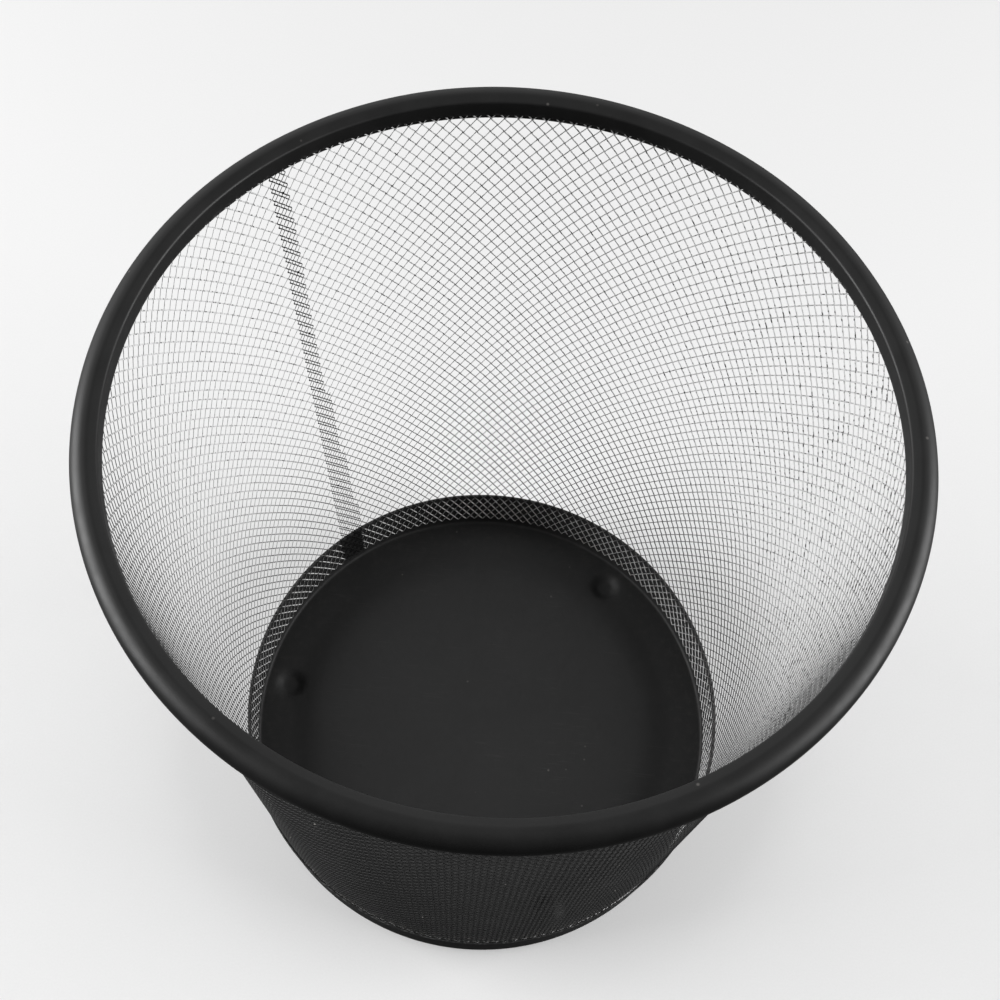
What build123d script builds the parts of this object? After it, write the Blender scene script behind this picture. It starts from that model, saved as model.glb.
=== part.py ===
from build123d import *
import os

# A round, tapered office wastebasket: a wall of flattened expanded steel mesh, closed by one lap
# seam, held at the top in a roll-formed hoop and at the bottom in a pressed steel pan.
# Millimetres, +Z up. The origin is on the basket's axis at the level of the floor it stands on.

# ---- Driving dimensions ----
overall_height = 340.0
rim_outer_radius = 147.5

# Wall: one sheet of mesh. Its outer face is a cone, given by its radius at two levels.
wall_radius_at_floor = 120.3
wall_radius_at_top = 139.1
mesh_thickness = 0.4
mesh_bottom = 5.6
mesh_top = 336.2

# Lap seam: the sheet's inner end runs behind its outer end for this angle.
seam_angle = 130.4
lap_angle = 4.6
joggle_angle = 0.5
free_edge_gap_angle = 0.2
layer_gap = 0.1
seam_weld_diameter = 3.5
seam_weld_lowest = 48.0
seam_weld_spacing = 45.0
seam_weld_count = 7

# Rim hoop: a steel strip rolled round the top edge of the mesh.
rim_strip = 0.6
rim_clearance = 0.06
rim_flank_bottom = 332.2
rim_crease_height = 338.4
rim_bead_bottom = 327.3
rim_crown_radius = 140.8
rim_tuck_top = 331.4
rim_crease_bend = 0.9
rim_crown_bend = 3.0
rim_upper_bend = 5.6
rim_lower_bend = 5.4
rim_tuck_bend = 2.4

# Base pan: a pressed disc with a shallow ring channel, three pressed feet and a flange outside
# the mesh.
pan_sheet = 0.6
panel_level = 4.6
channel_level = 3.4
panel_radius = 93.0
channel_start_radius = 101.0
channel_bend = 24.0
corner_bend = 1.6
flange_top = 33.0
flange_flare = 0.5
flange_flare_height = 1.6
foot_count = 3
foot_circle_radius = 107.0
first_foot_angle = 53.5
foot_mouth_radius = 7.0
foot_sole_radius = 4.4
foot_sole_bend = 0.9

# Weld projections between the mesh and the flange.
flange_weld_gap = 0.15
flange_weld_diameter = 4.0
flange_weld_level = 20.0
flange_weld_count = 12
first_flange_weld_angle = 8.5

# Reach of a cutting tool past the faces that it cuts.
tool_margin = 4.0


def wall_radius(level):
    """Radius of the mesh's outer face at a level."""
    taper = (wall_radius_at_top - wall_radius_at_floor) / overall_height
    return wall_radius_at_floor + taper * level


def beside_wall(offset, level):
    """Point (radius, level) at a radial distance outside the mesh's outer face."""
    return (wall_radius(level) + offset, level)


def wall_band(inner_offset, outer_offset, bottom, top):
    """Corners of the section between two cones parallel to the wall."""
    return (
        beside_wall(inner_offset, bottom),
        beside_wall(outer_offset, bottom),
        beside_wall(outer_offset, top),
        beside_wall(inner_offset, top),
    )


def turned(angle):
    """Plane that holds the basket's axis and is turned by an angle about it."""
    return Plane.XZ.rotated((0, 0, angle))


os.makedirs("parts", exist_ok=True)

# ---- Mesh wall ----
# The openings of the mesh are left out: the sheet is a closed skin as thick as the flattened
# strands. It goes once round from the seam, steps inwards, and laps behind its own free edge.
inner_layer_face = -2 * mesh_thickness - layer_gap
with BuildPart() as mesh_wall:
    with BuildSketch(turned(seam_angle + lap_angle)):
        Polygon(*wall_band(-mesh_thickness, 0, mesh_bottom, mesh_top), align=None)
    revolve(axis=Axis.Z, revolution_arc=360 - free_edge_gap_angle)
    with BuildSketch(turned(seam_angle + lap_angle)):
        Polygon(*wall_band(inner_layer_face, 0, mesh_bottom, mesh_top), align=None)
    revolve(axis=Axis.Z, revolution_arc=joggle_angle)
    with BuildSketch(turned(seam_angle)):
        Polygon(*wall_band(inner_layer_face, -mesh_thickness - layer_gap, mesh_bottom, mesh_top), align=None)
    revolve(axis=Axis.Z, revolution_arc=lap_angle)
mesh_wall.part.label = "mesh_wall"
export_step(mesh_wall.part, "parts/mesh_wall.step")

# ---- Seam weld spots ----
# Flat nuggets that fill the gap between the two layers of the lap.
seam_weld_levels = [seam_weld_lowest + seam_weld_spacing * row for row in range(seam_weld_count)]
seam_middle = Plane.YZ.rotated((0, 0, seam_angle + lap_angle / 2))
with BuildPart() as seam_weld_pins:
    with BuildSketch(seam_middle.offset(wall_radius_at_floor - tool_margin)):
        with Locations(*[(0, level) for level in seam_weld_levels]):
            Circle(seam_weld_diameter / 2)
    extrude(amount=wall_radius_at_top - wall_radius_at_floor + 2 * tool_margin)
with BuildPart() as seam_weld_spots:
    with BuildSketch(turned(seam_angle)):
        Polygon(*wall_band(-mesh_thickness - layer_gap, -mesh_thickness, mesh_bottom, mesh_top), align=None)
    revolve(axis=Axis.Z, revolution_arc=lap_angle)
    add(seam_weld_pins.part, mode=Mode.INTERSECT)
seam_weld_spots.part.label = "seam_weld_spots"
export_step(seam_weld_spots.part, "parts/seam_weld_spots.step")

# ---- Rim hoop ----
# Section of the strip's middle line: up the flat flank inside the mesh, over a sharp crease, round
# the hollow bead, and back against the mesh's outer face.
half_strip = rim_strip / 2
flank_offset = inner_layer_face - rim_clearance - half_strip
tuck_offset = rim_clearance + half_strip
outer_line_radius = rim_outer_radius - half_strip
top_line_level = overall_height - half_strip
bottom_line_level = rim_bead_bottom + half_strip
with BuildPart() as rim_hoop:
    with BuildSketch(Plane.XZ):
        with BuildLine():
            FilletPolyline(
                beside_wall(flank_offset, rim_flank_bottom),
                beside_wall(flank_offset, rim_crease_height),
                (rim_crown_radius, top_line_level),
                (outer_line_radius, top_line_level),
                (outer_line_radius, bottom_line_level),
                beside_wall(tuck_offset, bottom_line_level),
                beside_wall(tuck_offset, rim_tuck_top),
                radius=[rim_crease_bend, rim_crown_bend, rim_upper_bend, rim_lower_bend, rim_tuck_bend],
            )
            offset(amount=half_strip, side=Side.BOTH)
        make_face()
    revolve(axis=Axis.Z)
rim_hoop.part.label = "rim_hoop"
export_step(rim_hoop.part, "parts/rim_hoop.step")

# ---- Base pan ----
# Section of the upper face: raised panel, shallow ring channel, corner, and a flange that follows
# the wall and flares at its edge. The sheet's thickness is added below and outside.
with BuildPart() as base_pan:
    with BuildSketch(Plane.XZ):
        with BuildLine():
            FilletPolyline(
                (0, panel_level),
                (panel_radius, panel_level),
                (channel_start_radius, channel_level),
                beside_wall(flange_weld_gap, channel_level),
                beside_wall(flange_weld_gap, flange_top - flange_flare_height),
                beside_wall(flange_weld_gap + flange_flare, flange_top),
                radius=[channel_bend, channel_bend, corner_bend, flange_flare_height],
            )
            offset(amount=pan_sheet, side=Side.RIGHT)
        make_face()
    revolve(axis=Axis.Z)
    # Each foot is a flat-soled cup pressed down from the channel, on to the floor.
    with PolarLocations(foot_circle_radius, foot_count, start_angle=first_foot_angle):
        Cone(
            foot_sole_radius + pan_sheet,
            foot_mouth_radius + pan_sheet,
            channel_level - pan_sheet,
            align=(Align.CENTER, Align.CENTER, Align.MIN),
        )
    fillet(base_pan.edges().group_by(Axis.Z)[0], foot_sole_bend)
    with Locations(Plane.XY.offset(pan_sheet)):
        with PolarLocations(foot_circle_radius, foot_count, start_angle=first_foot_angle):
            Cone(
                foot_sole_radius,
                foot_mouth_radius,
                channel_level - pan_sheet,
                align=(Align.CENTER, Align.CENTER, Align.MIN),
                mode=Mode.SUBTRACT,
            )
base_pan.part.label = "base_pan"
export_step(base_pan.part, "parts/base_pan.step")

# ---- Flange weld spots ----
# Low weld projections that hold the mesh to the inside of the pan's flange.
with BuildPart() as flange_weld_pins:
    with BuildSketch(Plane.XY.offset(flange_weld_level)):
        with PolarLocations(wall_radius_at_floor, flange_weld_count, start_angle=first_flange_weld_angle):
            Rectangle(2 * tool_margin, flange_weld_diameter)
    extrude(amount=flange_weld_diameter / 2, both=True)
with BuildPart() as flange_weld_spots:
    with BuildSketch(Plane.XZ):
        Polygon(*wall_band(0, flange_weld_gap, mesh_bottom, flange_top), align=None)
    revolve(axis=Axis.Z)
    add(flange_weld_pins.part, mode=Mode.INTERSECT)
flange_weld_spots.part.label = "flange_weld_spots"
export_step(flange_weld_spots.part, "parts/flange_weld_spots.step")
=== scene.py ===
"""Looks of a round, tapered office wastebasket of black powder-coated steel.

A wall of fine expanded mesh stands between a rolled rim and a pressed pan. Metres, +Z up, in the
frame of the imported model: the origin is on the basket's axis, at the level of the floor.
"""

import logging
import math
from collections.abc import Sequence
from dataclasses import dataclass
from enum import Enum

import bpy
import numpy as np
from mathutils import Matrix, Vector
from numpy.typing import NDArray


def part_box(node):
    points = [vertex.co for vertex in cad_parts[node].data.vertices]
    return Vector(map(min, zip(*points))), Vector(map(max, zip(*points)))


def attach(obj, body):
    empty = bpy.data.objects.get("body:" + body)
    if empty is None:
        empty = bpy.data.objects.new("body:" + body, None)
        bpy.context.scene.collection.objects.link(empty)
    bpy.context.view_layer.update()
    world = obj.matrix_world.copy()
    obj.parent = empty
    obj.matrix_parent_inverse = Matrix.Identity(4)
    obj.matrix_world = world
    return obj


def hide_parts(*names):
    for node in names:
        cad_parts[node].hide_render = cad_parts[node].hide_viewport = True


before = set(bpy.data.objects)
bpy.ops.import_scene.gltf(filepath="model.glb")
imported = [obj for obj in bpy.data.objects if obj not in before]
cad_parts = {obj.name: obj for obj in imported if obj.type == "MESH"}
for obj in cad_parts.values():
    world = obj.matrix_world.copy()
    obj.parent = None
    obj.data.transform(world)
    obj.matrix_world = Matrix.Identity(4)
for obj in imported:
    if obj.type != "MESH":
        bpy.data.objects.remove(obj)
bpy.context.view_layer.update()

Array = NDArray[np.float64]
Colour = tuple[float, float, float, float]
Socket = bpy.types.NodeSocket

log = logging.getLogger("wastebasket")

MM = 0.001
TURN = 2.0 * math.pi


class Node(Enum):
    """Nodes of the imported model."""

    RIM = "rim_hoop"
    WALL = "mesh_wall"
    PAN = "base_pan"
    SEAM_WELDS = "seam_weld_spots"
    FLANGE_WELDS = "flange_weld_spots"


class Slot(Enum):
    """Material slots of the record."""

    RIM = "rim_coat"
    MESH = "mesh_coat"
    PAN = "pan_coat"
    WELD = "weld_coat"


# ---- Geometry shared by the pieces ----


@dataclass(frozen=True)
class WallCone:
    """The cone of the mesh's outer face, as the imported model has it."""

    floor_radius: float
    slope: float
    bottom: float
    top: float

    @classmethod
    def of_node(cls, node: bpy.types.Object) -> "WallCone":
        """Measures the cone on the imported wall.

        Args:
            node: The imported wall.

        Returns:
            The cone through the widest points of the wall's lower and upper edges.
        """
        points = np.empty(3 * len(node.data.vertices))
        node.data.vertices.foreach_get("co", points)
        points = points.reshape(-1, 3)
        radii = np.hypot(points[:, 0], points[:, 1])
        levels = points[:, 2]
        bottom, top = levels.min(), levels.max()
        near = 0.1 * MM
        low = radii[levels < bottom + near].max()
        high = radii[levels > top - near].max()
        slope = (high - low) / (top - bottom)
        return cls(low - slope * bottom, slope, bottom, top)

    def radius(self, level: Array | float) -> Array | float:
        """Radius of the outer face at a level: the radius at the floor plus slope times level."""
        return self.floor_radius + self.slope * level

    def beside(self, offset: float, level: float) -> tuple[float, float]:
        """Point (radius, level) at a radial distance outside the outer face."""
        return (self.radius(level) + offset, level)


def rounded_path(corners: Sequence[tuple[float, float]], bends: Sequence[float], steps: int) -> Array:
    """Straight runs joined by tangent arcs, like a bent strip seen end on.

    At each inner corner the arc's centre lies on the bisector, at the bend radius divided by the
    sine of half the angle, and the arc turns from one run's normal to the next one's.

    Args:
        corners: Points (radius, level) where the straight runs would meet.
        bends: Bend radius at each inner corner.
        steps: Number of chords along each arc.

    Returns:
        The path's points, one row each.
    """
    points = np.array(corners, float)
    path = [points[:1]]
    for before, corner, after, bend in zip(points, points[1:], points[2:], bends):
        back = (before - corner) / np.linalg.norm(before - corner)
        on = (after - corner) / np.linalg.norm(after - corner)
        half_angle = 0.5 * math.acos(float(np.clip(back @ on, -1.0, 1.0)))
        bisector = (back + on) / np.linalg.norm(back + on)
        centre = corner + bisector * bend / math.sin(half_angle)
        reach = bend / math.tan(half_angle)
        start, end = corner + back * reach - centre, corner + on * reach - centre
        first = math.atan2(start[1], start[0])
        turn = (math.atan2(end[1], end[0]) - first + math.pi) % TURN - math.pi
        angles = first + turn * np.linspace(0.0, 1.0, steps + 1)
        path.append(centre + bend * np.stack([np.cos(angles), np.sin(angles)], axis=1))
    path.append(points[-1:])
    return np.concatenate(path)


def filled_in(path: Array, longest: float) -> Array:
    """Adds evenly spaced points on the path's chords, so that none is longer than a length.

    Args:
        path: Points, one row each.
        longest: Longest chord that may stay.

    Returns:
        The path with the points added.
    """
    chords = np.linalg.norm(np.diff(path, axis=0), axis=1)
    counts = np.maximum(np.ceil(chords / longest).astype(int), 1)
    parts = [a + (b - a) * np.linspace(0.0, 1.0, n, endpoint=False)[:, None]
             for a, b, n in zip(path, path[1:], counts)]
    return np.concatenate(parts + [path[-1:]])


def path_normals(path: Array) -> Array:
    """Unit normals on the path's right-hand side, from the direction between a point's neighbours."""
    along = np.gradient(path, axis=0)
    along /= np.linalg.norm(along, axis=1, keepdims=True)
    return np.stack([along[:, 1], -along[:, 0]], axis=1)


def rolled_edge(point: Array, normal: Array, half: float) -> Array:
    """Half circle round a strip's edge.

    Args:
        point: Middle of the strip at its edge, as (radius, level).
        normal: Unit normal there, towards the side that the half circle starts from.
        half: Half the strip's thickness.

    Returns:
        Three points between the strip's two sides: the middle plus half times the cosine of the
        angle along the normal, and its sine along the strip's own direction.
    """
    along = np.array([-normal[1], normal[0]])
    angles = np.linspace(0.0, math.pi, 5)[1:-1, None]
    return point + half * (np.cos(angles) * normal + np.sin(angles) * along)


def grid_faces(rows: int, columns: int, close_rows: bool, close_columns: bool) -> NDArray[np.int32]:
    """Quads of a grid of points numbered along its rows.

    Args:
        rows: Number of rows of points.
        columns: Number of points in each row.
        close_rows: Whether the last row joins the first.
        close_columns: Whether each row's last point joins its first.

    Returns:
        Four point numbers for each quad. They run column, then row, so that a grid whose rows
        follow each other to the right of its columns' direction faces outwards.
    """
    row = np.arange(rows if close_rows else rows - 1)[:, None]
    column = np.arange(columns if close_columns else columns - 1)[None, :]
    next_row, next_column = (row + 1) % rows, (column + 1) % columns
    corners = [row * columns + column, row * columns + next_column,
               next_row * columns + next_column, next_row * columns + column]
    return np.stack(np.broadcast_arrays(*corners), axis=-1).reshape(-1, 4).astype(np.int32)


def make_piece(name: str, points: Array, faces: Sequence[NDArray[np.int32]],
               tones: dict[str, Array]) -> bpy.types.Object:
    """Puts a surface into a new smooth-shaded object at the origin.

    Args:
        name: The piece's name.
        points: The surface's points, one row each, in metres.
        faces: Blocks of faces, each with one number of corners.
        tones: Values from 0 to 1 at the points, by name, for the materials to read.

    Returns:
        The new object.
    """
    mesh = bpy.data.meshes.new(name)
    mesh.vertices.add(len(points))
    mesh.vertices.foreach_set("co", points.astype(np.float32).ravel())
    corners = np.concatenate([block.ravel() for block in faces])
    sizes = np.concatenate([np.full(len(block), block.shape[1]) for block in faces])
    mesh.loops.add(len(corners))
    mesh.loops.foreach_set("vertex_index", corners.astype(np.int32))
    mesh.polygons.add(len(sizes))
    mesh.polygons.foreach_set("loop_start", (np.cumsum(sizes) - sizes).astype(np.int32))
    mesh.update(calc_edges=True)
    mesh.shade_smooth()
    for tone, values in tones.items():
        attribute = mesh.attributes.new(tone, "FLOAT", "POINT")
        attribute.data.foreach_set("value", values.astype(np.float32).ravel())
    piece = bpy.data.objects.new(name, mesh)
    bpy.context.scene.collection.objects.link(piece)
    return piece


def place_piece(piece: bpy.types.Object, node: Node, material: bpy.types.Material) -> None:
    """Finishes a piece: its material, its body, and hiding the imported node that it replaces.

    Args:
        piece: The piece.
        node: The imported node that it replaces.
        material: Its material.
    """
    piece.data.materials.append(material)
    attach(piece, "root")
    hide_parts(node.value)
    log.info("%s: %d points, %d faces", piece.name, len(piece.data.vertices), len(piece.data.polygons))


def soft_step(low: float, high: float, value: Array) -> Array:
    """Rises from 0 at low to 1 at high, as 3 t squared minus 2 t cubed of the share covered."""
    share = np.clip((value - low) / (high - low), 0.0, 1.0)
    return share * share * (3.0 - 2.0 * share)


# ---- Finishes ----


@dataclass
class Shader:
    """The nodes of one material or world, added from the coordinates to the output."""

    owner: bpy.types.Material | bpy.types.World

    def __post_init__(self) -> None:
        """Empties the owner's nodes."""
        self.owner.use_nodes = True
        self.owner.node_tree.nodes.clear()

    def feed(self, place: Socket, value: object) -> None:
        """Links a socket to an input, or sets the input's value."""
        if isinstance(value, bpy.types.NodeSocket):
            self.owner.node_tree.links.new(value, place)
        else:
            place.default_value = value

    def add(self, kind: str, inputs: dict[str, object] | None = None, **settings: object) -> bpy.types.Node:
        """Adds a node.

        Args:
            kind: The node's type without the ShaderNode at its front.
            inputs: Values or sockets for the node's inputs, by input name.
            **settings: Properties of the node.

        Returns:
            The new node.
        """
        node = self.owner.node_tree.nodes.new("ShaderNode" + kind)
        for name, value in settings.items():
            setattr(node, name, value)
        for name, value in (inputs or {}).items():
            self.feed(node.inputs[name], value)
        return node

    def object_point(self) -> Socket:
        """The point on the piece, in metres."""
        return self.add("TexCoord").outputs["Object"]

    def tone(self, name: str) -> Socket:
        """A value stored at the piece's points."""
        return self.add("Attribute", attribute_name=name).outputs["Fac"]

    def noise(self, point: Socket, per_metre: float, detail: float = 2.0, roughness: float = 0.5) -> Socket:
        """Noise with a number of features to the metre."""
        inputs = {"Vector": point, "Scale": per_metre, "Detail": detail, "Roughness": roughness}
        return self.add("TexNoise", inputs).outputs["Fac"]

    def stretched(self, point: Socket, scale: tuple[float, float, float],
                  turn: tuple[float, float, float] = (0.0, 0.0, 0.0)) -> Socket:
        """The point turned and scaled along each axis."""
        inputs = {"Vector": point, "Rotation": turn, "Scale": scale}
        return self.add("Mapping", inputs).outputs["Vector"]

    def between(self, value: Socket, low: float, high: float, to_low: float = 0.0,
                to_high: float = 1.0) -> Socket:
        """Maps the stretch from low to high smoothly on to another stretch, and stops at its ends."""
        names = ("From Min", "From Max", "To Min", "To Max")
        inputs = dict(zip(names, (low, high, to_low, to_high)), Value=value)
        return self.add("MapRange", inputs, interpolation_type="SMOOTHSTEP").outputs["Result"]

    def math(self, operation: str, first: Socket, second: Socket | float) -> Socket:
        """One sum of two values, clipped to the stretch from 0 to 1."""
        node = self.add("Math", operation=operation, use_clamp=True)
        for place, value in zip(node.inputs, (first, second)):
            self.feed(place, value)
        return node.outputs["Value"]

    def mix(self, share: Socket, first: Socket | Colour, second: Socket | Colour) -> Socket:
        """A colour that goes from the first to the second as share rises from 0 to 1."""
        node = self.add("Mix", data_type="RGBA")
        for place, value in ((0, share), (6, first), (7, second)):
            self.feed(node.inputs[place], value)
        return node.outputs[2]

    def bump(self, height: Socket, depth: float, below: Socket | None = None) -> Socket:
        """Surface relief: the height's stretch from 0 to 1 is as deep as depth, in metres."""
        inputs = {"Height": height, "Strength": 1.0, "Distance": depth}
        if below is not None:
            inputs["Normal"] = below
        return self.add("Bump", inputs).outputs["Normal"]

    def close(self, colour: Socket, roughness: Socket, normal: Socket, ior: float,
              glow: float = 0.0) -> bpy.types.Material:
        """Joins the finish to the output.

        Args:
            colour: The coat's colour.
            roughness: The coat's roughness.
            normal: The relief's normal.
            ior: Refractive index of the coat's binder.
            glow: Light that the surface gives off in its own colour.

        Returns:
            The finished material.
        """
        inputs = {"Base Color": colour, "Roughness": roughness, "Normal": normal, "IOR": ior,
                  "Emission Strength": glow}
        if glow > 0.0:
            inputs["Emission Color"] = colour
        surface = self.add("BsdfPrincipled", inputs).outputs["BSDF"]
        self.add("OutputMaterial", {"Surface": surface})
        return self.owner


def grey(value: float, warmth: float = 0.0) -> Colour:
    """A grey, a little redder and less blue as warmth rises."""
    return (value * (1.0 + warmth), value, value * (1.0 - warmth), 1.0)


@dataclass(frozen=True)
class PowderCoat:
    """Black satin powder coat: pigment, grain, orange peel, dust, rubbed edges, and the painted light and
    painted reflection that some pieces' tones carry.
    """

    name: str
    dark: float = 0.0085
    light: float = 0.0125
    sheen_low: float = 0.36
    sheen_high: float = 0.47
    peel_per_metre: float = 420.0
    peel_depth: float = 0.035 * MM
    grain_per_metre: float = 2600.0
    grain_depth: float = 0.008 * MM
    dust: float = 0.075
    dust_per_metre: float = 210.0
    dust_spread: float = 0.93
    # Pale colour: rubbed wear on the rim and the pan's lip, painted reflection on the pan's flange, painted
    # light on the mesh's strands.
    worn_and_lit: float = 0.045
    worn_and_lit_from: float = 0.48
    # Darkest colour, used where the mesh's lap makes the strands darker.
    lap_dark: float = 0.012
    scratched: float = 0.0
    ior: float = 1.4

    def relief(self, shader: Shader, point: Socket) -> Socket:
        """Orange peel a millimetre or two across, with the powder's own fine grain on it."""
        peel = shader.noise(point, self.peel_per_metre, 2.0)
        grain = shader.noise(point, self.grain_per_metre, 1.0)
        return shader.bump(grain, self.grain_depth, shader.bump(peel, self.peel_depth))

    def pigment(self, shader: Shader, point: Socket) -> Socket:
        """Slow clouds of slightly thinner coat, broken up by the grain."""
        cloud = shader.between(shader.noise(point, 17.0, 3.0), 0.25, 0.75, 0.0, 0.6)
        grain = shader.between(shader.noise(point, 1500.0, 2.0, 0.7), 0.42, 0.72, 0.0, 0.4)
        return shader.mix(shader.math("ADD", cloud, grain), grey(self.dark), grey(self.light))

    def dusting(self, shader: Shader, point: Socket) -> Socket:
        """Specks of dust: few cells of a scatter hold one, and it covers the middle of its cell."""
        inputs = {"Vector": point, "Scale": self.dust_per_metre, "Randomness": 1.0}
        cells = shader.add("TexVoronoi", inputs)
        speck = shader.between(cells.outputs["Distance"], 0.16, 0.05)
        split = shader.add("SeparateColor", {"Color": cells.outputs["Color"]})
        chosen = shader.between(split.outputs["Red"], self.dust_spread, self.dust_spread + 0.04)
        return shader.math("MULTIPLY", speck, chosen)

    def scratch_marks(self, shader: Shader, point: Socket) -> Socket:
        """Fine scratches in three directions: noise stretched into long streaks and cut thin."""
        marks = []
        for turn, along, across in ((0.35, 60.0, 1500.0), (1.45, 45.0, 1300.0), (2.6, 75.0, 1700.0)):
            streak = shader.stretched(point, (along, across, along), (0.0, 0.0, turn))
            marks.append(shader.between(shader.noise(streak, 1.0, 0.0), 0.74, 0.80))
        marks = shader.math("MAXIMUM", shader.math("MAXIMUM", marks[0], marks[1]), marks[2])
        patch = shader.between(shader.noise(point, 31.0, 1.0), 0.50, 0.66, 0.0, self.scratched)
        return shader.math("MULTIPLY", marks, patch)

    def build(self) -> bpy.types.Material:
        """Makes the material.

        Returns:
            The coat, in its pale colour where the piece's tone "edge" is high, which is rubbed wear on the
            rim and the pan's lip, painted reflection on the pan's flange and painted light on the mesh,
            dusty where its tone "settled" is high, which on the mesh is partly painted light, and in its
            darkest colour in the mesh's lap.
        """
        shader = Shader(bpy.data.materials.new(self.name))
        point = shader.object_point()
        colour = self.pigment(shader, point)
        blotch = shader.noise(point, 95.0, 3.0)
        roughness = shader.between(blotch, 0.3, 0.7, self.sheen_low, self.sheen_high)
        if self.scratched > 0.0:
            colour = shader.mix(self.scratch_marks(shader, point), colour, grey(self.worn_and_lit))
        # Pale where the tone "edge" is high: rubbed wear on the rim's strip edges and the pan's lip, painted
        # reflection on the pan's flange, painted light on the mesh's strands.
        broken = shader.noise(point, 620.0, 3.0)
        broken = shader.between(broken, self.worn_and_lit_from, self.worn_and_lit_from + 0.18)
        wear_and_light = shader.math("MULTIPLY", shader.tone("edge"), broken)
        colour = shader.mix(wear_and_light, colour, grey(self.worn_and_lit))
        film = shader.between(shader.noise(point, 240.0, 4.0, 0.7), 0.45, 0.8, 0.0, 0.35)
        film = shader.math("MULTIPLY", shader.tone("settled"), film)
        colour = shader.mix(film, colour, grey(self.dust, 0.06))
        colour = shader.mix(self.dusting(shader, point), colour, grey(self.dust, 0.05))
        colour = shader.mix(shader.tone("lap_dark"), colour, grey(self.lap_dark))
        return shader.close(colour, roughness, self.relief(shader, point), self.ior)


# ---- Rim ----


@dataclass
class RimHoop:
    """The hoop that closes the top edge: a steel strip rolled round the mesh into a hollow bead."""

    cone: WallCone
    strip: float = 0.6 * MM
    layers: float = 0.9 * MM
    clearance: float = 0.06 * MM
    flank_height: float = 7.8 * MM
    crease_drop: float = 1.6 * MM
    crown_inset: float = 6.7 * MM
    tuck_height: float = 4.1 * MM
    bends: tuple[float, ...] = (0.9 * MM, 3.0 * MM, 5.6 * MM, 5.4 * MM, 2.4 * MM)
    arc_steps: int = 7
    columns: int = 480
    coat: PowderCoat = PowderCoat("rim_powder_coat", sheen_low=0.42, sheen_high=0.52,
                                  peel_depth=0.02 * MM)

    def middle_line(self) -> Array:
        """Middle of the strip in section.

        Returns:
            Points (radius, level): up the flank inside the mesh, over the crease, round the bead,
            and up the tuck against the mesh's outer face.
        """
        low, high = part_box(Node.RIM.value)
        half = 0.5 * self.strip
        outer, top, bottom = high.x - half, high.z - half, low.z + half
        flank = -self.layers - self.clearance - half
        tuck = self.clearance + half
        corners = (
            self.cone.beside(flank, high.z - self.flank_height),
            self.cone.beside(flank, high.z - self.crease_drop),
            (high.x - self.crown_inset, top),
            (outer, top),
            (outer, bottom),
            self.cone.beside(tuck, bottom),
            self.cone.beside(tuck, low.z + self.tuck_height),
        )
        return filled_in(rounded_path(corners, self.bends, self.arc_steps), 1.2 * MM)

    def section(self) -> tuple[Array, Array]:
        """Outline of the strip, with its rolled-over edges.

        Returns:
            The outline's points (radius, level), and the tone "edge" at each: 1 on the strip's two
            edges, and fading over a millimetre.
        """
        line = self.middle_line()
        normals = path_normals(line)
        half = 0.5 * self.strip
        outline = np.concatenate([
            line + half * normals,
            rolled_edge(line[-1], normals[-1], half),
            (line - half * normals)[::-1],
            rolled_edge(line[0], -normals[0], half),
        ])
        gaps = np.linalg.norm(outline[:, None, :] - line[None, [0, -1], :], axis=2).min(axis=1)
        return outline, 1.0 - soft_step(0.4 * MM, 1.4 * MM, gaps)

    def build(self) -> bpy.types.Object:
        """Carries the section once round the basket's axis.

        Returns:
            The hoop. Point (angle, place on the outline) is at the outline's radius and level,
            turned by the angle. The hoop is out of round by a slow wave of a tenth of a millimetre.
        """
        outline, edge = self.section()
        angles = np.linspace(0.0, TURN, self.columns, endpoint=False)[:, None]
        wave = 0.10 * MM * np.sin(3.0 * angles + 0.7) + 0.05 * MM * np.sin(7.0 * angles + 2.1)
        radii = outline[None, :, 0] + wave
        levels = np.broadcast_to(outline[None, :, 1], radii.shape)
        points = np.stack([radii * np.cos(angles), radii * np.sin(angles), levels], axis=-1)
        faces = grid_faces(self.columns, len(outline), True, True)
        tones = {"edge": np.broadcast_to(edge, radii.shape), "settled": np.zeros(radii.shape)}
        piece = make_piece("rim_hoop_rolled", points.reshape(-1, 3), [faces], tones)
        place_piece(piece, Node.RIM, self.coat.build())
        return piece


# ---- Wall ----


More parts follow.
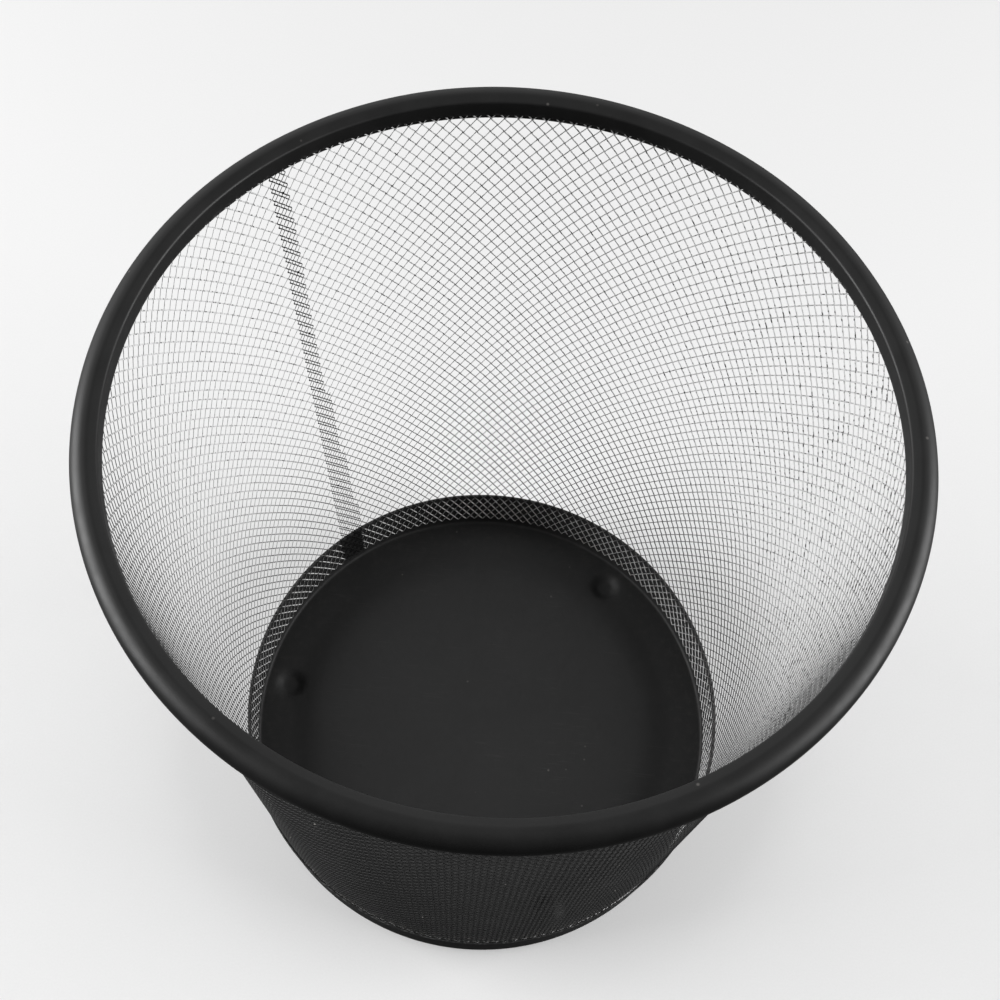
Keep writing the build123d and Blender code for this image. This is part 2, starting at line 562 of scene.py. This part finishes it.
@dataclass
class MeshWall:
    """The wall of expanded steel mesh, as zigzag strands that meet side by side in knuckles.

    Slits stretched open leave strands that run up the sheet in zigzags. Each strand touches its
    left and its right neighbour in turn, and where two touch they are one knuckle.
    """

    cone: WallCone
    seam_angle: float = math.radians(131.7)
    lap_angle: float = math.radians(3.3)
    joggle_angle: float = math.radians(0.5)
    diamonds_round: float = 161.62
    strand_count: int = 326
    lap_tops: tuple[float, ...] = (68.0 * MM, 122.0 * MM, 176.0 * MM)
    tall_at_floor: float = 8.15 * MM
    shrink: float = 0.004
    strand_width: float = 0.47 * MM
    strand_depth: float = 0.20 * MM
    lean: float = math.radians(32.0)
    sheet: float = 0.4 * MM
    layer_step: float = 0.5 * MM
    knuckle_share: float = 0.06
    bend_share: float = 0.08
    stub_width: float = 0.75 * MM
    bend_reach: float = 0.86
    section_corners: int = 4
    # Where and how strongly the strands get painted light in the coat's pale colour.
    pale_floor: float = 0.05
    pale_low: float = 60.0 * MM
    pale_high: float = 200.0 * MM
    pale_front: float = -100.0 * MM
    pale_back: float = 30.0 * MM
    flange_low: float = 29.0 * MM
    flange_high: float = 33.0 * MM
    # Dust film near the bottom, which is also painted light on the strands in front of the pan's flange.
    dust_and_light_low: float = 30.0 * MM
    dust_and_light_high: float = 60.0 * MM
    panel_count: int = 8
    # The mesh coat's pale colour, 0.80, is painted light on the strands; its dust colour, 0.45, is partly
    # painted light near the bottom.
    coat: PowderCoat = PowderCoat("mesh_powder_coat", dark=0.035, light=0.05, dust=0.45,
                                  worn_and_lit=0.80, worn_and_lit_from=0.32, peel_depth=0.012 * MM,
                                  grain_depth=0.006 * MM)

    def rows_below(self, level: Array | float) -> Array | float:
        """Half diamonds below a level.

        A diamond is tall_at_floor minus shrink times level high, so the number up to a level is
        the integral of two over that height: a logarithm.
        """
        return -2.0 / self.shrink * np.log(1.0 - self.shrink * level / self.tall_at_floor)

    def level_of(self, rows: Array) -> Array:
        """Level that has a number of half diamonds below it."""
        return self.tall_at_floor / self.shrink * (1.0 - np.exp(-0.5 * self.shrink * rows))

    def strand_points(self, strands: NDArray[np.int64], top: float) -> Array:
        """Surface of a group of strands.

        Along a strand the place between its two columns of knuckles goes from one side to the
        other: flat over the knuckle, eased through the bend, straight between the bends. The
        section is a rectangle, leaning about the vertical by the same angle everywhere, as the
        stretching leaves it. The sheet's outer end is cut through its knuckles, which leaves stubs.

        Args:
            strands: Numbers of the strands, counted from the seam.
            top: Level that they reach.

        Returns:
            The points, in an array by strand, place along it, corner of the section and axis.
        """
        first = math.ceil(float(self.rows_below(self.cone.bottom)))
        last = math.floor(float(self.rows_below(top)))
        flat, bent = self.knuckle_share, self.knuckle_share + self.bend_share
        stops = np.array([flat, bent, 1.0 - bent, 1.0 - flat])
        sideways = np.array([-1.0, -self.bend_reach, self.bend_reach, 1.0])
        halves = np.arange(first, last)
        rows = (halves[:, None] + stops).ravel()
        way = np.where((halves[None, :] + strands[:, None]) % 2 == 0, 1.0, -1.0)
        side = (way[:, :, None] * sideways).reshape(len(strands), -1)

        half_pitch = 0.5 * TURN / self.diamonds_round
        middle = self.seam_angle + (strands[:, None] + 0.5) * half_pitch
        level = np.broadcast_to(self.level_of(rows)[None, :], side.shape)
        level = np.clip(level, self.cone.bottom, self.cone.top)
        face = self.cone.radius(level)
        reach = 0.5 * half_pitch - 0.5 * self.strand_width * math.cos(self.lean) / face
        angle = middle + reach * side
        angle = angle + self.sway(angle, level)
        inward = 1.0 - soft_step(self.lap_angle, self.lap_angle + self.joggle_angle,
                                 angle - self.seam_angle)
        radius = face - 0.5 * self.sheet - self.layer_step * inward
        radius = radius - 0.5 * self.strand_width * math.sin(self.lean) * side

        centre = np.stack([radius * np.cos(angle), radius * np.sin(angle), level], axis=-1)
        outward = np.stack([np.cos(angle), np.sin(angle), np.zeros_like(angle)], axis=-1)
        along = np.gradient(centre, axis=1)
        along /= np.linalg.norm(along, axis=2, keepdims=True)
        across = np.cross(along, outward)
        across /= np.linalg.norm(across, axis=2, keepdims=True)
        outward = np.cross(across, along)
        wide = math.cos(self.lean) * across - math.sin(self.lean) * outward
        thick = math.sin(self.lean) * across + math.cos(self.lean) * outward
        cut_off = (strands[:, None] == self.strand_count - 1) & (side > 0.9)
        half_width = 0.5 * np.where(cut_off, self.stub_width, self.strand_width)[..., None]
        corners = [centre + half_width * a * wide + 0.5 * self.strand_depth * b * thick
                   for a, b in ((-1, -1), (1, -1), (1, 1), (-1, 1))]
        return np.stack(corners, axis=2)

    def strand_faces(self, points: Array) -> NDArray[np.int32]:
        """Sides and end caps of a group of strands, numbered in the order of their points."""
        count, places, corners, _ = points.shape
        cap = np.arange(corners)[None, ::-1]
        one = np.concatenate([grid_faces(places, corners, False, True), cap,
                              (places - 1) * corners + cap[:, ::-1]])
        start = places * corners * np.arange(count)[:, None, None]
        return (one[None] + start).reshape(-1, 4)

    def painted_light_share(self, points: Array) -> Array:
        """Share of the pale colour at the strands' points: painted light, an effect of looks, not of
        structure.

        It is on the two inner corners of each section only. It rises with the level, as painted light that
        is brighter higher up, and it fades towards the front, where the painted light is weaker. Behind the
        pan's flange it is full all the way round, as a painted highlight.

        Args:
            points: Points of the strands, four to each section.

        Returns:
            The share from 0 to 1.
        """
        inner = np.arange(len(points)) % self.section_corners < 2
        level, depth = points[:, 2], points[:, 1]
        rise = self.pale_floor + (1.0 - self.pale_floor) * soft_step(self.pale_low, self.pale_high, level)
        behind_flange = 1.0 - soft_step(self.flange_low, self.flange_high, level)
        return inner * np.maximum(rise * soft_step(self.pale_front, self.pale_back, depth), behind_flange)

    def in_lap(self, points: Array) -> Array:
        """Tells the strands of the lap, which are darker.

        Args:
            points: Points of the strands.

        Returns:
            1 from the inner end's slanting cut to the outer end, and 0 elsewhere.
        """
        angle = np.arctan2(points[:, 1], points[:, 0]) - self.seam_angle
        extra = np.interp(points[:, 2], self.lap_tops, np.arange(len(self.lap_tops), 0, -1))
        extra = np.where(points[:, 2] > self.lap_tops[-1], 0.0, extra)
        start = -0.5 * TURN / self.diamonds_round * extra
        return ((angle > start) & (angle < self.lap_angle)).astype(float)

    def lap_knuckles(self, levels: Array) -> Array:
        """Knuckles between the first two strands, which touch there at every odd half diamond.

        Args:
            levels: Levels near which knuckles are wanted.

        Returns:
            Each one's angle and level.
        """
        rows = 2.0 * np.round(0.5 * (self.rows_below(levels) - 1.0)) + 1.0
        level = self.level_of(rows)
        angle = np.full(len(levels), self.seam_angle + 0.5 * TURN / self.diamonds_round)
        return np.stack([angle + self.sway(angle, level), level], axis=1)

    def sway(self, angle: Array, level: Array) -> Array:
        """Small sideways drift of the strands: three slow waves that cross the sheet."""
        height = level / (self.cone.top - self.cone.bottom)
        drift = 0.5 * np.sin(3.0 * angle + 4.0 * height) + 0.3 * np.sin(8.0 * angle - 9.0 * height + 1.0)
        return 0.0028 * (drift + 0.2 * np.sin(19.0 * angle + 17.0 * height + 2.0)) * np.sin(math.pi * height)

    def build(self) -> list[bpy.types.Object]:
        """Makes the wall as upright panels of strands, each light enough to be one piece.

        The sheet's inner end is cut at a slant, so the strands before the first whole one stop
        short of the rim, each higher than the one before.

        Returns:
            The panels.
        """
        material = self.coat.build()
        panels = []
        for number, strands in enumerate(np.array_split(np.arange(self.strand_count), self.panel_count)):
            groups = [self.strand_points(strands, self.cone.top)]
            if number == 0:
                groups += [self.strand_points(np.array([strand - len(self.lap_tops)]), top)
                           for strand, top in enumerate(self.lap_tops)]
            sizes = np.cumsum([0] + [group[..., 0].size for group in groups])
            faces = [self.strand_faces(group) + start for group, start in zip(groups, sizes)]
            points = np.concatenate([group.reshape(-1, 3) for group in groups])
            # On the mesh the tone "edge" is painted light on the strands' inner corners, not wear.
            tones = {"edge": self.painted_light_share(points),
                     # Near the bottom: partly dust, partly painted light on the strands in front of the
                     # flange.
                     "settled": 1.0 - soft_step(self.dust_and_light_low, self.dust_and_light_high, points[:, 2]),
                     # The lap's strands are darker.
                     "lap_dark": self.in_lap(points)}
            piece = make_piece(f"mesh_wall_panel_{number + 1}", points, faces, tones)
            place_piece(piece, Node.WALL, material)
            panels.append(piece)
        return panels


# ---- Pan ----


@dataclass
class BasePan:
    """The pressed steel base: a raised panel, a ring channel, three feet and a flange."""

    cone: WallCone
    sheet: float = 0.6 * MM
    panel_level: float = 4.6 * MM
    channel_level: float = 3.4 * MM
    panel_radius: float = 88.0 * MM
    channel_radius: float = 102.0 * MM
    flange_gap: float = 0.15 * MM
    flare: float = 0.5 * MM
    flare_height: float = 1.6 * MM
    bends: tuple[float, ...] = (90.0 * MM, 60.0 * MM, 1.6 * MM, 1.6 * MM)
    foot_count: int = 3
    foot_circle: float = 107.0 * MM
    first_foot: float = math.radians(53.5)
    mouth_radius: float = 8.0 * MM
    sole_radius: float = 4.0 * MM
    lip: float = 1.3 * MM
    near_foot: float = 14.0 * MM
    fine_step: float = 0.5 * MM
    foot_reach: float = math.radians(4.8)
    foot_columns: int = 45
    wide_columns: int = 70
    # Share of painted reflection on the flange's outer face.
    flange_reflection: float = 0.35
    corner_dust: float = 0.4
    coat: PowderCoat = PowderCoat("pan_powder_coat", dark=0.013, light=0.016, worn_and_lit=0.07,
                                  sheen_low=0.58, sheen_high=0.68, dust_spread=0.96, scratched=0.12)

    def upper_line(self) -> Array:
        """Section of the upper face.

        Returns:
            Points (radius, level) from near the middle, over the channel and the corner, to the
            top of the flange, close together where the feet are.
        """
        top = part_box(Node.PAN.value)[1].z
        corners = (
            (0.0, self.panel_level),
            (self.panel_radius, self.panel_level),
            (self.channel_radius, self.channel_level),
            self.cone.beside(self.flange_gap, self.channel_level),
            self.cone.beside(self.flange_gap, top - self.flare_height),
            self.cone.beside(self.flange_gap + self.flare, top),
        )
        line = rounded_path(corners, self.bends, 6)
        near_feet = np.abs(line[:, 0] - self.foot_circle) < self.near_foot
        first, last = np.flatnonzero(near_feet)[[0, -1]]
        fine = filled_in(line[first - 1:last + 2], self.fine_step)
        line = np.concatenate([filled_in(line[:first], 9.0 * MM)[1:-1], fine,
                               filled_in(line[last + 1:], 5.0 * MM)[1:]])
        return line[np.append(True, np.linalg.norm(np.diff(line, axis=0), axis=1) > 0.01 * MM)]

    def columns(self) -> Array:
        """Angles of the grid's columns: close together across each foot, and wide between."""
        reach = self.foot_reach
        feet = self.first_foot + TURN / self.foot_count * np.arange(self.foot_count)
        close = np.linspace(-reach, reach, self.foot_columns)
        wide = np.linspace(reach, TURN / self.foot_count - reach, self.wide_columns)[1:-1]
        return (feet[:, None] + np.concatenate([close, wide])[None, :]).ravel()

    def cup(self, points: Array, wall: float) -> Array:
        """Depth of the feet at points of the sheet.

        A foot's side falls evenly from the mouth's radius to the sole's, and a smooth minimum and
        maximum round it at both.

        Args:
            points: Points of the sheet.
            wall: Distance that the face stands outside the cup's inner face.

        Returns:
            The depth below the channel at each point.
        """
        depth = self.channel_level - self.sheet
        feet = self.first_foot + TURN / self.foot_count * np.arange(self.foot_count)
        middles = self.foot_circle * np.stack([np.cos(feet), np.sin(feet)], axis=-1)
        away = np.linalg.norm(points[..., None, :2] - middles, axis=-1).min(axis=-1)
        fall = depth * (self.mouth_radius + wall - away) / (self.mouth_radius - self.sole_radius)
        above = 0.5 * (fall + np.sqrt(fall * fall + self.lip * self.lip))
        left = depth - above
        return depth - 0.5 * (left + np.sqrt(left * left + 0.25 * self.lip * self.lip))

    def build(self) -> bpy.types.Object:
        """Turns the section round the axis, gives it its thickness, and presses the feet.

        Returns:
            The pan. Rows run up the upper face, over the flange's edge and back down the lower
            face, and both ends close in a point on the axis. The panel is out of flat by a slow
            wave under a tenth of a millimetre.
        """
        upper = self.upper_line()
        normals = path_normals(upper)
        lower = (upper + self.sheet * normals)[::-1]
        middle = upper[-1] + 0.5 * self.sheet * normals[-1]
        lip = rolled_edge(middle, normals[-1], 0.5 * self.sheet)[::-1]
        line = np.concatenate([upper, lip, lower])
        angles = self.columns()[:, None]
        radii = np.broadcast_to(line[None, :, 0], (len(angles), len(line)))
        points = np.stack([radii * np.cos(angles), radii * np.sin(angles),
                           np.broadcast_to(line[None, :, 1], radii.shape)], axis=-1)
        outside = np.zeros(len(line))
        outside[len(upper) + len(lip):] = 1.0
        flat = line[:, 1] < self.panel_level + 0.1 * MM
        press = self.cup(points, 0.0) * (1.0 - outside) + self.cup(points, self.sheet) * outside
        points[..., 2] -= np.where(flat, press, 0.0)
        wave = 0.045 * MM * np.sin(41.0 * points[..., 0] + 1.0) * np.sin(35.0 * points[..., 1] + 0.4)
        points[..., 2] += wave * (1.0 - soft_step(0.07, self.panel_radius, radii))
        rows = points.transpose(1, 0, 2)
        count, columns = rows.shape[:2]
        poles = np.array([[0.0, 0.0, self.panel_level], [0.0, 0.0, self.panel_level - self.sheet]])
        around = np.arange(columns)
        beside = (around + 1) % columns
        first, last = count * columns, (count - 1) * columns
        fans = [np.stack([np.full(columns, first), around, beside], axis=1),
                np.stack([np.full(columns, first + 1), last + beside, last + around], axis=1)]
        faces = grid_faces(count, columns, False, True)[:, ::-1]
        edge = 1.0 - soft_step(0.2 * MM, 1.1 * MM, np.linalg.norm(line - middle, axis=1))
        # Painted reflection: the flange's outer face is paler from a few millimetres up, standing in for the
        # bright surroundings it mirrors; the lip's wear is real.
        flange_reflection_share = self.flange_reflection * outside * soft_step(3.0 * MM, 8.0 * MM, line[:, 1])
        edge = np.maximum(edge, flange_reflection_share)
        corner = soft_step(self.panel_radius, self.cone.radius(self.channel_level), line[:, 0])
        low_down = 1.0 - soft_step(7.0 * MM, 16.0 * MM, line[:, 1])
        settled = self.corner_dust * corner * low_down * (1.0 - outside)
        tones = {"edge": self.per_point(edge, columns), "settled": self.per_point(settled, columns)}
        piece = make_piece("base_pan_pressed", np.concatenate([rows.reshape(-1, 3), poles]),
                           [faces, *[fan.astype(np.int32) for fan in fans]], tones)
        place_piece(piece, Node.PAN, self.coat.build())
        return piece

    @staticmethod
    def per_point(values: Array, columns: int) -> Array:
        """Repeats a value for each row along the row, and adds 0 for the two poles."""
        return np.concatenate([np.repeat(values, columns), np.zeros(2)])


# ---- Welds ----


@dataclass
class Welds:
    """The welds of the lap, as nuggets between crossing strands, and those of the flange.

    The flange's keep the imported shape. A strand is far narrower than the lap's packed discs, so each
    of those becomes one nugget, at the knuckle nearest to the disc's level. That can be outside it.
    """

    wall: MeshWall
    seam_count: int = 7
    disc_radius: float = 1.75 * MM
    nugget_size: tuple[float, float, float] = (0.30 * MM, 0.55 * MM, 0.70 * MM)
    rings: int = 7
    sides: int = 12
    coat: PowderCoat = PowderCoat("weld_powder_coat", dark=0.010, light=0.015, sheen_low=0.4,
                                  sheen_high=0.55)

    def nugget(self) -> tuple[Array, NDArray[np.int32]]:
        """Unit ball in rings from pole to pole, closed in a point at both, and its triangles."""
        polar = np.linspace(0.0, math.pi, self.rings + 2)[1:-1, None]
        around = np.linspace(0.0, TURN, self.sides, endpoint=False)[None, :]
        ball = np.stack([np.sin(polar) * np.cos(around), np.sin(polar) * np.sin(around),
                         np.broadcast_to(np.cos(polar), (self.rings, self.sides))], axis=-1)
        points = np.concatenate([ball.reshape(-1, 3), [(0.0, 0.0, 1.0), (0.0, 0.0, -1.0)]])
        quads = grid_faces(self.rings, self.sides, False, True)[:, ::-1]
        ring = np.arange(self.sides)
        beside = (ring + 1) % self.sides
        top, bottom = self.rings * self.sides, self.rings * self.sides + 1
        last = (self.rings - 1) * self.sides
        fans = [np.stack([np.full(self.sides, top), ring, beside], axis=1),
                np.stack([np.full(self.sides, bottom), last + beside, last + ring], axis=1)]
        triangles = np.concatenate([quads[:, :3], quads[:, [0, 2, 3]], *fans])
        return points, triangles.astype(np.int32)

    def build(self) -> bpy.types.Object:
        """Sets one nugget in each packed spot, and dresses both groups of welds.

        Returns:
            The nuggets: balls stretched along the radius, round the basket and up it.
        """
        low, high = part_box(Node.SEAM_WELDS.value)
        levels = np.linspace(low.z + self.disc_radius, high.z - self.disc_radius, self.seam_count)
        angle, level = self.wall.lap_knuckles(levels).T
        radius = self.wall.cone.radius(level) - 0.5 * (self.wall.sheet + self.wall.layer_step)
        zero, one = np.zeros_like(angle), np.ones_like(angle)
        outward = np.stack([np.cos(angle), np.sin(angle), zero], axis=1)
        sideways = np.stack([-np.sin(angle), np.cos(angle), zero], axis=1)
        upward = np.stack([zero, zero, one], axis=1)
        centre = radius[:, None] * outward + level[:, None] * upward
        ball, triangles = self.nugget()
        ball = ball * self.nugget_size
        axes = np.stack([outward, sideways, upward], axis=1)
        points = centre[:, None] + ball @ axes
        faces = (triangles[None] + len(ball) * np.arange(len(angle))[:, None, None]).reshape(-1, 3)
        plain = np.zeros(len(angle) * len(ball))
        material = self.coat.build()
        piece = make_piece("seam_weld_nuggets", points.reshape(-1, 3), [faces.astype(np.int32)],
                           {"edge": plain, "settled": plain})
        place_piece(piece, Node.SEAM_WELDS, material)
        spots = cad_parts[Node.FLANGE_WELDS.value]
        spots.data.materials.clear()
        spots.data.materials.append(material)
        log.info("%s: packed shape, dressed", Node.FLANGE_WELDS.value)
        return piece


# ---- Studio ----


@dataclass
class Studio:
    """Pale floor, soft light from all sides, and the camera."""

    focal_length: float = 52.2
    distance: float = 245.70 * MM
    height: float = 766.34 * MM
    yaw: float = -0.00134
    pitch: float = 1.10758
    roll: float = 0.08579
    floor_size: float = 40.0
    room_strength: float = 1.0

    def lay_floor(self) -> None:
        """Lays a large, pale, faintly glowing sheet just under the feet.

        It is seen by the camera but throws no light on to the basket and isn't mirrored in it.
        """
        half = 0.5 * self.floor_size
        corners = np.array([(-half, -half, 0.0), (half, -half, 0.0), (half, half, 0.0), (-half, half, 0.0)])
        corners[:, 2] = -0.05 * MM
        floor = make_piece("studio_floor", corners, [np.array([[0, 1, 2, 3]], np.int32)], {})
        shader = Shader(bpy.data.materials.new("studio_paper"))
        point = shader.object_point()
        fibre = shader.noise(point, 900.0, 3.0)
        colour = shader.mix(fibre, grey(0.50), grey(0.53))
        rough = shader.between(shader.noise(point, 30.0), 0.3, 0.7, 0.75, 0.85)
        floor.data.materials.append(shader.close(colour, rough, shader.bump(fibre, 0.01 * MM), 1.45, 0.5))
        floor.visible_diffuse = False
        floor.visible_glossy = False

    def light(self) -> None:
        """Surrounds the basket with a plain room and hangs a soft panel on each side.

        The room is bright at the horizon, dim overhead and below the back, and dark below the
        front and towards the viewer.
        """
        world = bpy.data.worlds.new("studio_room")
        bpy.context.scene.world = world
        shader = Shader(world)
        direction = shader.add("TexCoord").outputs["Generated"]
        x, y, z = shader.add("SeparateXYZ", {"Vector": direction}).outputs
        behind = shader.between(y, -0.2, 0.5, 0.07, 0.40)
        above = shader.math("MAXIMUM", shader.between(z, -0.12, 0.10), behind)
        overhead = shader.between(z, 0.35, 0.85, 1.0, 0.30)
        viewer = shader.between(y, -0.70, -0.10, 0.10, 1.0)
        left = shader.between(x, -0.8, 0.8, 1.0, 0.75)
        share = shader.math("MULTIPLY", shader.math("MULTIPLY", above, overhead),
                            shader.math("MULTIPLY", viewer, left))
        colour = shader.mix(share, grey(0.0), grey(1.0))
        room = shader.add("Background", {"Color": colour, "Strength": self.room_strength})
        shader.add("OutputWorld", {"Surface": room.outputs["Background"]})
        self.panel("left_panel", (-1.9, 0.0, 0.9), 1.5, 56.0)
        self.panel("right_panel", (1.9, 0.0, 0.9), 1.5, 48.0)

    def panel(self, name: str, place: tuple[float, float, float], size: float, power: float) -> None:
        """Hangs a square soft light that faces the basket.

        Args:
            name: Name of the light.
            place: Where it hangs.
            size: Side of its square, in metres.
            power: Its power, in watts.
        """
        data = bpy.data.lights.new(name, "AREA")
        data.shape = "SQUARE"
        data.size = size
        data.energy = power
        lamp = bpy.data.objects.new(name, data)
        lamp.location = place
        aim = Vector((0.0, 0.0, 0.15)) - lamp.location
        lamp.rotation_euler = aim.to_track_quat("-Z", "Y").to_euler()
        bpy.context.scene.collection.objects.link(lamp)

    def set_camera(self) -> None:
        """Stands the camera in front of and above the basket, looking steeply down into it."""
        data = bpy.data.cameras.new("studio_camera")
        data.sensor_width = 36.0
        data.lens = self.focal_length
        camera = bpy.data.objects.new("studio_camera", data)
        forward = Vector((math.sin(self.yaw) * math.cos(self.pitch),
                          math.cos(self.yaw) * math.cos(self.pitch), -math.sin(self.pitch)))
        level = Vector((math.cos(self.yaw), -math.sin(self.yaw), 0.0))
        upright = level.cross(forward)
        right = math.cos(self.roll) * level + math.sin(self.roll) * upright
        up = -math.sin(self.roll) * level + math.cos(self.roll) * upright
        turn = Matrix((right, up, -forward)).transposed()
        camera.matrix_world = Matrix.Translation((0.0, -self.distance, self.height)) @ turn.to_4x4()
        bpy.context.scene.collection.objects.link(camera)
        bpy.context.scene.camera = camera

    def build(self) -> None:
        """Sets up the floor, the lights, the camera and a plain picture response."""
        self.lay_floor()
        self.light()
        self.set_camera()
        bpy.context.scene.view_settings.view_transform = "Standard"


def main() -> None:
    """Builds the basket from the rim down, then the studio round it."""
    logging.basicConfig(level=logging.INFO, format="%(name)s: %(message)s")
    cone = WallCone.of_node(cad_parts[Node.WALL.value])
    RimHoop(cone).build()
    wall = MeshWall(cone)
    wall.build()
    BasePan(cone).build()
    Welds(wall).build()
    Studio().build()


if __name__ == "__main__":
    main()
